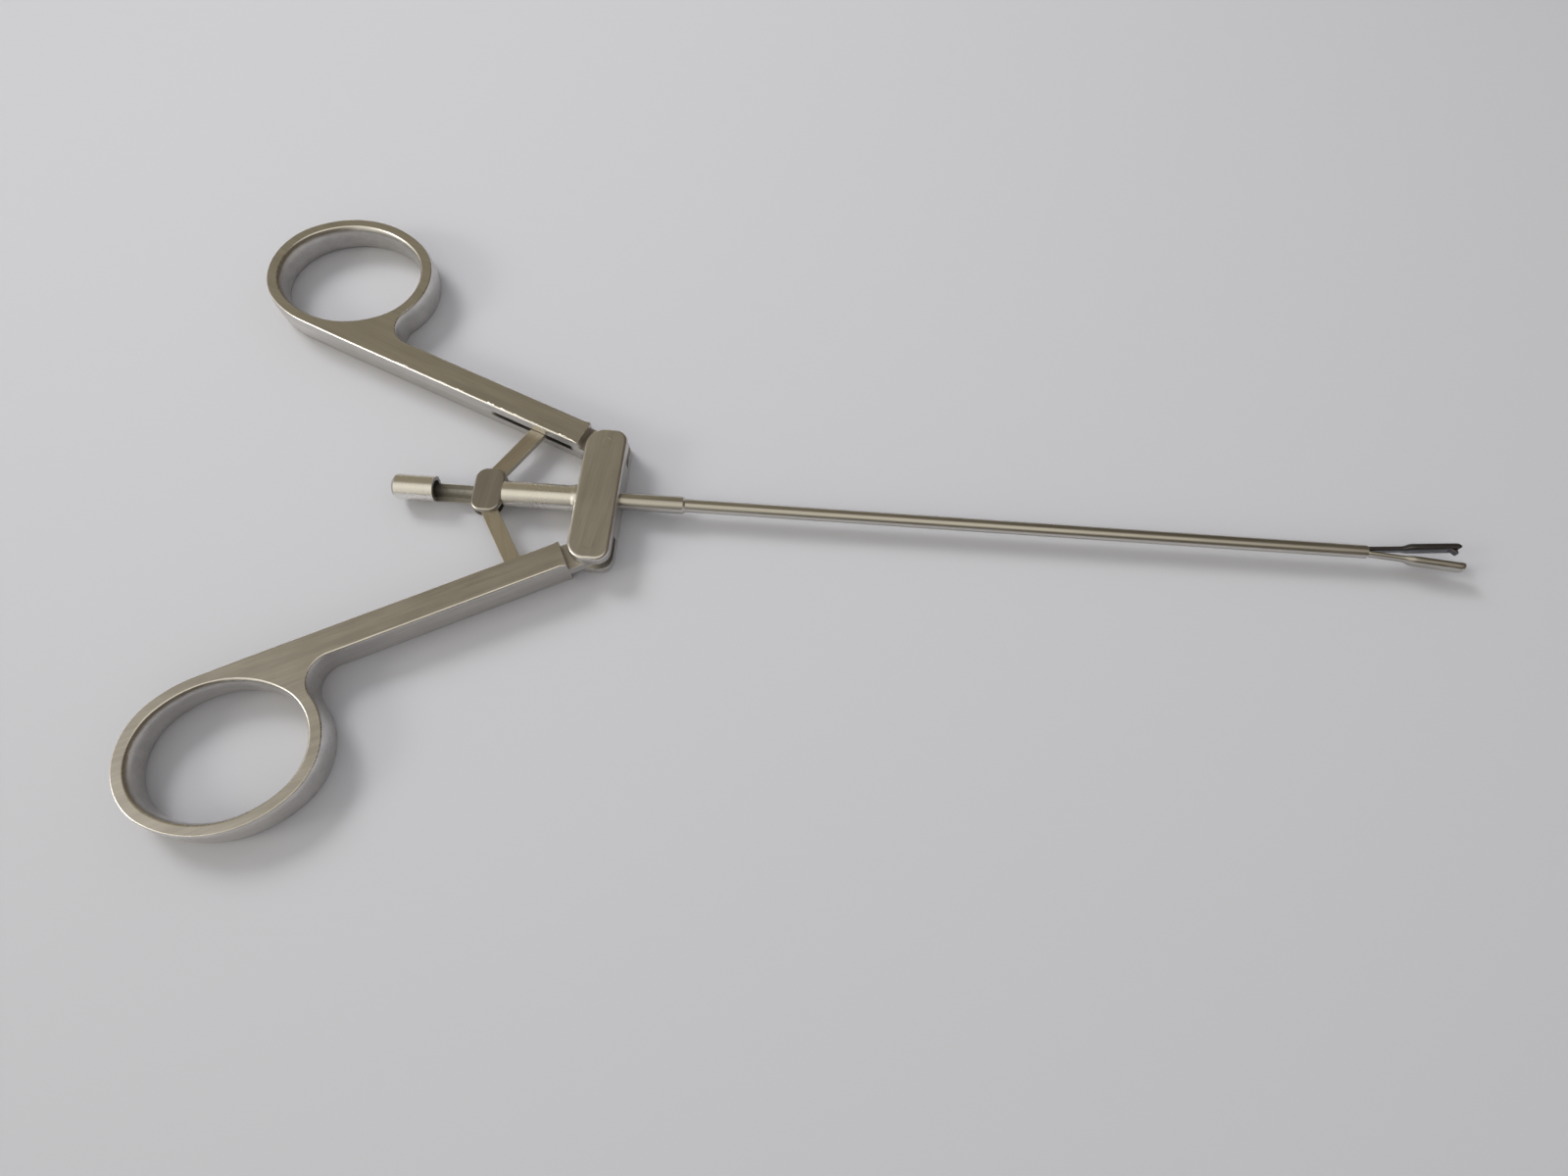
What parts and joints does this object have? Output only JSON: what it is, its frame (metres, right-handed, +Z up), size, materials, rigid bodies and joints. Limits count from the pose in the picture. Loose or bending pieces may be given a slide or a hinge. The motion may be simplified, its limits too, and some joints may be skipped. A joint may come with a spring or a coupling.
{
  "type": "tendon pulling forceps",
  "caption": "Ring-handled forceps whose squeezed handles draw a rod back through a thin straight shaft and close two small clawed jaws at its end.",
  "frame": {"origin": "on the shaft's axis where the shaft tube leaves its ferrule", "axes": "+X along the shaft towards the jaws, +Y towards the left handle, +Z up from the side that lies on a table"},
  "size_m": [0.2286, 0.1255, 0.006],
  "materials": {
    "handle_block": "satin",
    "guide_tube": "satin",
    "guide_collar": "satin",
    "shaft_ferrule": "satin",
    "shaft_tube": "satin",
    "pivot_pin_left": "satin",
    "pivot_pin_right": "satin",
    "handle_left": "satin",
    "link_pin_left": "satin",
    "handle_right": "satin",
    "link_pin_right": "satin",
    "crosshead": "satin",
    "pull_rod": "satin",
    "rod_pin": "satin",
    "crosshead_pin_left": "satin",
    "crosshead_pin_right": "satin",
    "link_left": "satin",
    "link_right": "satin",
    "jaw_left": "satin",
    "jaw_right": "satin"
  },
  "bodies": {
    "frame": {"handle_block": "handle_block", "guide_tube": "guide_tube", "guide_collar": "guide_collar", "shaft_ferrule": "shaft_ferrule", "shaft_tube": "shaft_tube", "pivot_pin_left": "pivot_pin_left", "pivot_pin_right": "pivot_pin_right"},
    "handle_left_body": {"handle_left": "handle_left", "link_pin_left": "link_pin_left"},
    "handle_right_body": {"handle_right": "handle_right", "link_pin_right": "link_pin_right"},
    "slider": {"crosshead": "crosshead", "pull_rod": "pull_rod", "rod_pin": "rod_pin", "crosshead_pin_left": "crosshead_pin_left", "crosshead_pin_right": "crosshead_pin_right"},
    "link_left_body": {"link_left": "link_left"},
    "link_right_body": {"link_right": "link_right"},
    "jaw_left_body": {"jaw_left": "jaw_left"},
    "jaw_right_body": {"jaw_right": "jaw_right"}
  },
  "joints": [
    {"name": "left_handle_hinge", "type": "hinge", "parent": "frame", "child": "handle_left_body", "pos_m": [-0.01575, 0.0103, 0], "axis": [0, 0, 1], "range_deg": [0, 15]},
    {"name": "right_handle_hinge", "type": "hinge", "parent": "frame", "child": "handle_right_body", "pos_m": [-0.01575, -0.0103, 0], "axis": [0, 0, -1], "range_deg": [0, 15]},
    {"name": "crosshead_slide", "type": "slide", "parent": "frame", "child": "slider", "axis": [-1, 0, 0], "range_m": [0, 0.00483]},
    {"name": "left_link_hinge", "type": "hinge", "parent": "slider", "child": "link_left_body", "pos_m": [-0.03605, 0.0029, 0], "axis": [0, 0, -1], "range_deg": [0, 20.1]},
    {"name": "right_link_hinge", "type": "hinge", "parent": "slider", "child": "link_right_body", "pos_m": [-0.03605, -0.0029, 0], "axis": [0, 0, 1], "range_deg": [0, 20.1]},
    {"name": "left_jaw_hinge", "type": "hinge", "parent": "slider", "child": "jaw_left_body", "pos_m": [0.1203, 0.0004, 0], "axis": [0, 0, -1], "range_deg": [0, 5]},
    {"name": "right_jaw_hinge", "type": "hinge", "parent": "slider", "child": "jaw_right_body", "pos_m": [0.1203, -0.0004, 0], "axis": [0, 0, 1], "range_deg": [0, 5]}
  ],
  "couplings": [
    {"joint": "right_handle_hinge", "follows": "left_handle_hinge", "ratio": 1},
    {"joint": "crosshead_slide", "follows": "left_handle_hinge", "m_per_rad": 0.018456},
    {"joint": "left_link_hinge", "follows": "left_handle_hinge", "ratio": 1.3398},
    {"joint": "right_link_hinge", "follows": "left_handle_hinge", "ratio": 1.3398},
    {"joint": "left_jaw_hinge", "follows": "left_handle_hinge", "ratio": 0.33333},
    {"joint": "right_jaw_hinge", "follows": "left_handle_hinge", "ratio": 0.33333}
  ]
}
